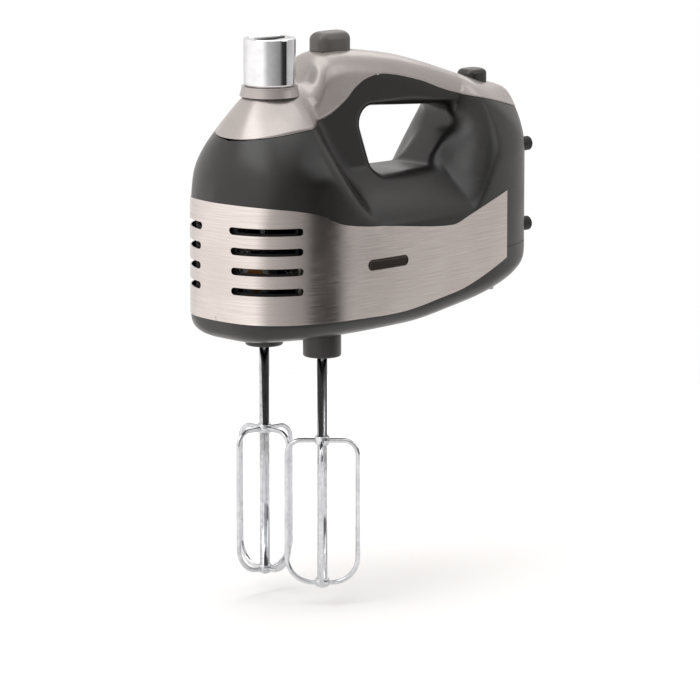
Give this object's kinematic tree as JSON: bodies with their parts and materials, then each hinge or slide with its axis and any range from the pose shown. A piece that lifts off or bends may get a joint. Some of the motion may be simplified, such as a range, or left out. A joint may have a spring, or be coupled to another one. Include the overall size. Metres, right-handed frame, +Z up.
{
  "type": "hand mixer",
  "caption": "Hand-held electric mixer: black body with a wrap-round steel band and louvres, chrome speed dial, eject button, open grip and twin wire beaters.",
  "frame": {"origin": "middle of the hand grip, on the plane between the two beaters", "axes": "+Z up away from the beaters, -Y towards the nose, +Y towards the heel, +X to the left side of the mixer"},
  "size_m": [0.0908, 0.2226, 0.2984],
  "materials": {
    "black_housing": "fine-textured black ABS",
    "cover_plastic": "satin silver painted ABS",
    "brushed_band": "brushed stainless steel",
    "vent_black": "matt black",
    "badge_dark": "dark satin plaque",
    "rubber_black": "moulded rubber",
    "zinc_steel": "zinc plated",
    "cast_alloy": "die cast",
    "bronze": "sintered bronze",
    "lamination": "laminated electrical steel",
    "copper": "enamelled copper",
    "brass": "drawn brass",
    "carbon": "pressed carbon",
    "board_green": "epoxy glass laminate",
    "fin_aluminium": "extruded",
    "capacitor_yellow": "moulded case",
    "switch_plastic": "moulded thermoset",
    "spring_steel": "drawn spring wire",
    "frame_steel": "dark zinc",
    "lead_blue": "PVC insulation",
    "nylon": "natural nylon",
    "ground_steel": "ground shaft steel",
    "beater_chrome": "polished chrome plate",
    "dial_chrome": "polished chrome plate",
    "stripe_dark": "dark inlay",
    "button_grey": "satin grey",
    "button_black": "satin black"
  },
  "bodies": {
    "housing": {"lower_housing": "black_housing", "socket_collars": "black_housing", "upper_housing": "black_housing", "top_cover": "cover_plastic", "steel_band": "brushed_band", "vent_grille": "vent_black", "badge_plate": "badge_dark", "cord_gland": "rubber_black", "heel_feet": "rubber_black", "base_screws": "zinc_steel", "gear_case": "cast_alloy", "gear_case_cover": "cast_alloy", "gear_case_screws": "zinc_steel", "lower_spindle_bushes": "bronze", "upper_spindle_bushes": "bronze", "front_bearing": "bronze", "middle_bearing": "bronze", "rear_bearing": "bronze", "stator_core": "lamination", "field_coils": "copper", "motor_mounts": "rubber_black", "rear_bracket": "cast_alloy", "motor_bolts": "zinc_steel", "brush_holders": "brass", "carbon_brushes": "carbon", "brush_springs": "spring_steel", "control_board": "board_green", "heat_sink": "fin_aluminium", "suppressor_capacitor": "capacitor_yellow", "speed_switch": "switch_plastic", "dial_detent_spring": "spring_steel", "eject_spring": "spring_steel", "rewind_spring": "spring_steel", "reel_frame": "frame_steel", "reel_axle": "ground_steel", "reel_spring": "spring_steel", "motor_leads": "lead_blue"},
    "armature": {"armature_shaft": "ground_steel", "worm": "ground_steel", "armature_core": "lamination", "armature_windings": "copper", "commutator": "copper", "cooling_fan": "nylon"},
    "left_drive": {"left_worm_wheel": "nylon", "left_spindle": "ground_steel"},
    "right_drive": {"right_worm_wheel": "nylon", "right_spindle": "ground_steel"},
    "left_beater": {"left_beater_shaft": "beater_chrome", "left_beater_wires": "beater_chrome"},
    "right_beater": {"right_beater_shaft": "beater_chrome", "right_beater_wires": "beater_chrome"},
    "dial": {"speed_dial": "dial_chrome", "dial_stripe": "stripe_dark", "dial_spindle": "ground_steel"},
    "ejector": {"eject_button": "button_grey", "eject_plate": "ground_steel"},
    "rewind": {"rewind_button": "button_black"},
    "brake": {"brake_lever": "frame_steel"},
    "reel": {"reel_drum": "nylon", "slip_rings": "brass"}
  },
  "joints": [
    {"name": "armature_spin", "type": "hinge", "parent": "housing", "child": "armature", "pos_m": [0, -0.073, -0.101], "axis": [0, 1, 0], "continuous": true},
    {"name": "left_spindle_spin", "type": "hinge", "parent": "housing", "child": "left_drive", "pos_m": [0.023, -0.073, -0.101], "axis": [0, 0, 1], "continuous": true},
    {"name": "right_spindle_spin", "type": "hinge", "parent": "housing", "child": "right_drive", "pos_m": [-0.023, -0.073, -0.101], "axis": [0, 0, 1], "continuous": true},
    {"name": "left_beater_release", "type": "slide", "parent": "left_drive", "child": "left_beater", "axis": [0, 0, -1], "range_m": [0, 0.009]},
    {"name": "right_beater_release", "type": "slide", "parent": "right_drive", "child": "right_beater", "axis": [0, 0, -1], "range_m": [0, 0.009]},
    {"name": "eject_button_press", "type": "slide", "parent": "housing", "child": "ejector", "axis": [0, 0, -1], "range_m": [0, 0.009], "stiffness_N_per_m": 500, "springref_m": -0.008, "deforming": ["eject_spring"]},
    {"name": "speed_dial_turn", "type": "hinge", "parent": "housing", "child": "dial", "pos_m": [0, -0.0895, 0.007], "axis": [0, 0, 1], "range_deg": [0, 150]},
    {"name": "rewind_button_press", "type": "slide", "parent": "housing", "child": "rewind", "axis": [0, 0, -1], "range_m": [0, 0.003], "stiffness_N_per_m": 800, "springref_m": -0.003, "deforming": ["rewind_spring"]},
    {"name": "brake_lever_lift", "type": "hinge", "parent": "housing", "child": "brake", "pos_m": [0, 0.058, -0.053], "axis": [1, 0, 0], "range_deg": [-20, 0]},
    {"name": "reel_spin", "type": "hinge", "parent": "housing", "child": "reel", "pos_m": [0, 0.067, -0.079], "axis": [1, 0, 0], "continuous": true}
  ],
  "couplings": [
    {"joint": "left_spindle_spin", "follows": "armature_spin", "ratio": 0.066667},
    {"joint": "right_spindle_spin", "follows": "armature_spin", "ratio": -0.066667},
    {"joint": "right_beater_release", "follows": "left_beater_release", "ratio": 1},
    {"joint": "eject_button_press", "follows": "left_beater_release", "ratio": 1},
    {"joint": "brake_lever_lift", "follows": "rewind_button_press", "rad_per_m": -113}
  ]
}
